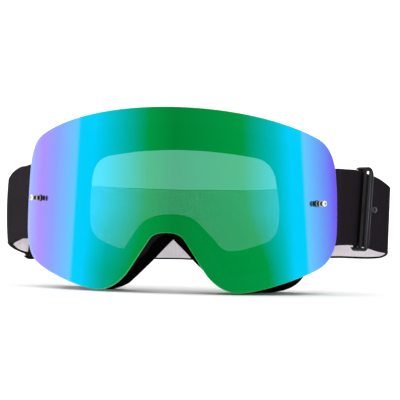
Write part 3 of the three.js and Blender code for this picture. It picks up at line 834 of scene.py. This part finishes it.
def bar_turn(side):
    """The half turn round a bar, from the outer layer's side to the inner one's."""
    turn = []
    for angle in (TANGENT - math.pi * i / 20 for i in range(1, 18)):
        normal = np.array([side * math.cos(angle), math.sin(angle)])
        turn.append((np.array([side * BAR[0], BAR[1]]) + normal * BAR_OFFSET, normal))
    return turn


# The webbing's rolled edge: distance in from the edge, and half thickness there. Between the
# two edges it is flat and a little thinner.
WEB_EDGE = [(0.0, 0.0), (0.06, 0.34), (0.22, 0.58), (0.5, 0.74), (0.9, 0.82), (1.6, 0.84)]
WEB_ACROSS, WEB_FLAT, WEB_FLAT_INSET = 18, 0.78, 2.4
# Its waviness: how far it wanders off its path, and how far its edges ripple, with the lengths
# over which they do.
WANDER, WANDER_LENGTH = 0.025, 26
RIPPLE, RIPPLE_LENGTH, RIPPLE_WIDTH = 0.35, 17, 30


def web_section():
    """[place across the width, distance from the middle] round the webbing, outer side first."""
    half = STRAP_WIDTH / 2
    low = [(-half + w, t) for w, t in WEB_EDGE]
    reach = half - WEB_FLAT_INSET
    flat = [(w, WEB_FLAT) for w in np.linspace(-reach, reach, WEB_ACROSS)]
    high = [(half - w, t) for w, t in reversed(WEB_EDGE)]
    outer = low + flat + high
    return outer + [(w, -t) for w, t in outer[-2:0:-1]]


def fold_shape(x, y, share):
    """(outward move, change of height) of webbing near a fold, by share of its half width."""
    reach = math.hypot(abs(x) - FOLD[0] - FOLD_R, y - FOLD[1])
    near = math.exp(-((reach / FOLD_SPREAD) ** 2))
    corner = FOLD_DROOP if share > 0 else FOLD_LIFT
    pinch = -np.sign(share) * abs(share) ** CORNER_POWER * corner
    if x > 0:
        return near * (FOLD_OUT_RIGHT + FOLD_SLOPE * share), near * pinch
    return near * (FOLD_OUT_LEFT - FOLD_BULGE * share**2 + FOLD_SLOPE * share), near * pinch


def make_webbing(node, path, lined):
    """Webbing on edge along (place, normal) pairs, sinking towards the back."""
    section = web_section()
    half = STRAP_WIDTH / 2
    places = np.array([p for p, n in path])
    steps = np.linalg.norm(np.diff(places, axis=0), axis=1)
    lengths = np.concatenate([[0], np.cumsum(steps)])
    rings = []
    for (place, normal), length in zip(path, lengths):
        x, y = place
        wander = WANDER * noise.noise(Vector((length / WANDER_LENGTH, 0.3, 0)))
        ring = []
        for across, out in section:
            edge = abs(across) / half
            wave = noise.noise(Vector((length / RIPPLE_LENGTH, across / RIPPLE_WIDTH, 4.2)))
            ripple = RIPPLE * edge**3 * wave
            push, rise = fold_shape(x, y, across / half)
            spot = place + normal * (out + wander) + np.array([np.sign(x) * push, 0])
            z = strap_mid_z(*spot) + across + ripple * np.sign(across) + rise
            ring.append((spot[0], spot[1], z))
        rings.append(ring)
    count = len(section)
    points = np.array(rings).reshape(-1, 3)
    faces = ring_faces(len(rings), count)[: -count]
    outer = len(section) // 2 + 1
    kinds = []
    for j in range(len(rings) - 1):
        inside = lined(lengths[j], lengths[-1])
        kinds += [1 if inside and outer + 2 <= i < count - 4 else 0 for i in range(count)]
    first, last = list(range(count)), list(range(len(points) - count, len(points)))
    faces += [tuple(reversed(first)), tuple(last)]
    kinds += [0, 0]
    piece = new_piece(
        f"{node}_web", points, faces, "strap", [WEB, LINING], [node], kinds, 80,
    )

    def coordinate(p):
        """(distance along the webbing, height off its middle)."""
        nearest = ((p[:, None, :2] - places[None]) ** 2).sum(2).argmin(1)
        return np.column_stack([lengths[nearest], p[:, 2] - strap_mid_z(p[:, 0], p[:, 1])])

    set_uv(piece, "surface", coordinate)


def lining_on_band(length, whole):
    return LINING_START < length < whole - LINING_START


def no_lining(length, whole):
    return False


make_webbing("strap_band", [layer(s, -1) for s in RIGHT_LINE + LEFT_LINE], lining_on_band)

right_spots = [s for s in RIGHT_LINE if s[2] < SLIDER_RUN]
right_stop = (BAR + RUN_DIRECTION * (SLIDER_RUN + 1), RUN_NORMAL, SLIDER_RUN + 1)
right_path = [layer(s, 1) for s in [*right_spots, right_stop][::-1]] + bar_turn(1)
make_webbing("strap_end_right", right_path, no_lining)

left_spots = [s for s in LEFT_LINE if s[0][0] < SLIDER_LEFT_X - 1.5]
left_stop = (np.array([SLIDER_LEFT_X - 1, FOLD[1] + FOLD_R]), np.array([0, 1.0]), RUN_LENGTH)
left_path = [layer(s, 1) for s in [left_stop, *left_spots]] + bar_turn(-1)
make_webbing("strap_end_left", left_path, no_lining)

for name in SIDES:
    moulded(f"outrigger_{name}", "strap", [HARD], 0.35)


HIGHLIGHT_FROM = 2.2        # the far bar is painted grey, as a highlight, from this far off the slider's middle to its far end


def far_bar_highlight(centre, direction):
    """Picks the grey painted-highlight material for the bar on one end of a slider."""
    def pick(point):
        return 1 if (point[:2] - centre) @ direction > HIGHLIGHT_FROM else 0

    return pick


right_centre = BAR + RUN_DIRECTION * SLIDER_RUN
right_pick = far_bar_highlight(right_centre, RUN_DIRECTION)
moulded("slider_right", "slider_right", [HARD, SLIDER_HIGHLIGHT], 0.45, 30, right_pick)
left_centre = np.array([SLIDER_LEFT_X, FOLD[1] + FOLD_R])
left_pick = far_bar_highlight(left_centre, np.array([-1.0, 0.0]))
moulded("slider_left", "slider_left", [HARD, SLIDER_HIGHLIGHT], 0.45, 30, left_pick)

# ---- floor, light and camera --------------------------------------------------------------------

scene = bpy.context.scene

FLOOR_HALF = 6.0           # metres, as everything below is
floor_look = Look("pale_floor")
floor_cloud = floor_look.noise(3, 3, vector=floor_look.place())
floor_tone = floor_look.mix(floor_cloud, (0.78, 0.78, 0.78, 1), (0.82, 0.82, 0.82, 1))
floor_material = floor_look.finish(floor_look.surface(
    Base_Color=floor_tone, Roughness=0.8, Specular_IOR_Level=0.1,
))
floor_mesh = bpy.data.meshes.new("floor")
corners = [(x * FLOOR_HALF, y * FLOOR_HALF, 0) for x, y in ((-1, -1), (1, -1), (1, 1), (-1, 1))]
floor_mesh.from_pydata(corners, [], [(0, 1, 2, 3)])
floor_mesh.materials.append(floor_material)
floor = bpy.data.objects.new("floor", floor_mesh)
scene.collection.objects.link(floor)
floor.visible_glossy = False   # the lens mirrors the even white world, not the floor or the lamps

world = bpy.data.worlds.new("studio")
scene.world = world
world.use_nodes = True
background = world.node_tree.nodes["Background"]
background.inputs["Color"].default_value = (1, 1, 1, 1)
background.inputs["Strength"].default_value = 1.45
scene.view_settings.view_transform = "Standard"   # the lens's colours are too vivid for others


AIM = Vector((0, 0, 0.05))     # the middle of the goggles


def softbox(name, place, size, power):
    """A soft rectangular lamp that faces the goggles."""
    light = bpy.data.lights.new(name, "AREA")
    light.shape = "RECTANGLE"
    light.size, light.size_y = size
    light.energy = power
    lamp = bpy.data.objects.new(name, light)
    lamp.location = place
    lamp.rotation_euler = (AIM - Vector(place)).to_track_quat("-Z", "Y").to_euler()
    lamp.visible_glossy = False
    scene.collection.objects.link(lamp)


softbox("side_light", (-1.3, 0.35, 0.26), (0.8, 0.2), 13)
softbox("top_light", (0.1, -0.2, 1.6), (1.4, 1.0), 4)

# Where the camera stands, and its axes: to its right, up, and the way it looks.
CAMERA_PLACE = (0.102584, -0.755372, 0.029188)
RIGHT, UP = Vector((0.99224, 0.12174, 0.02512)), Vector((-0.02109, -0.03424, 0.99919))
LOOK = Vector((-0.12250, 0.99197, 0.03141))
camera_data = bpy.data.cameras.new("camera")
camera_data.lens = 115.78
camera_data.sensor_width = 36
camera_data.clip_start = 0.01
camera_data.clip_end = 50
camera = bpy.data.objects.new("camera", camera_data)
turn = Matrix((RIGHT, UP, -LOOK)).transposed().to_4x4()
camera.matrix_world = Matrix.Translation(CAMERA_PLACE) @ turn
scene.collection.objects.link(camera)
scene.camera = camera
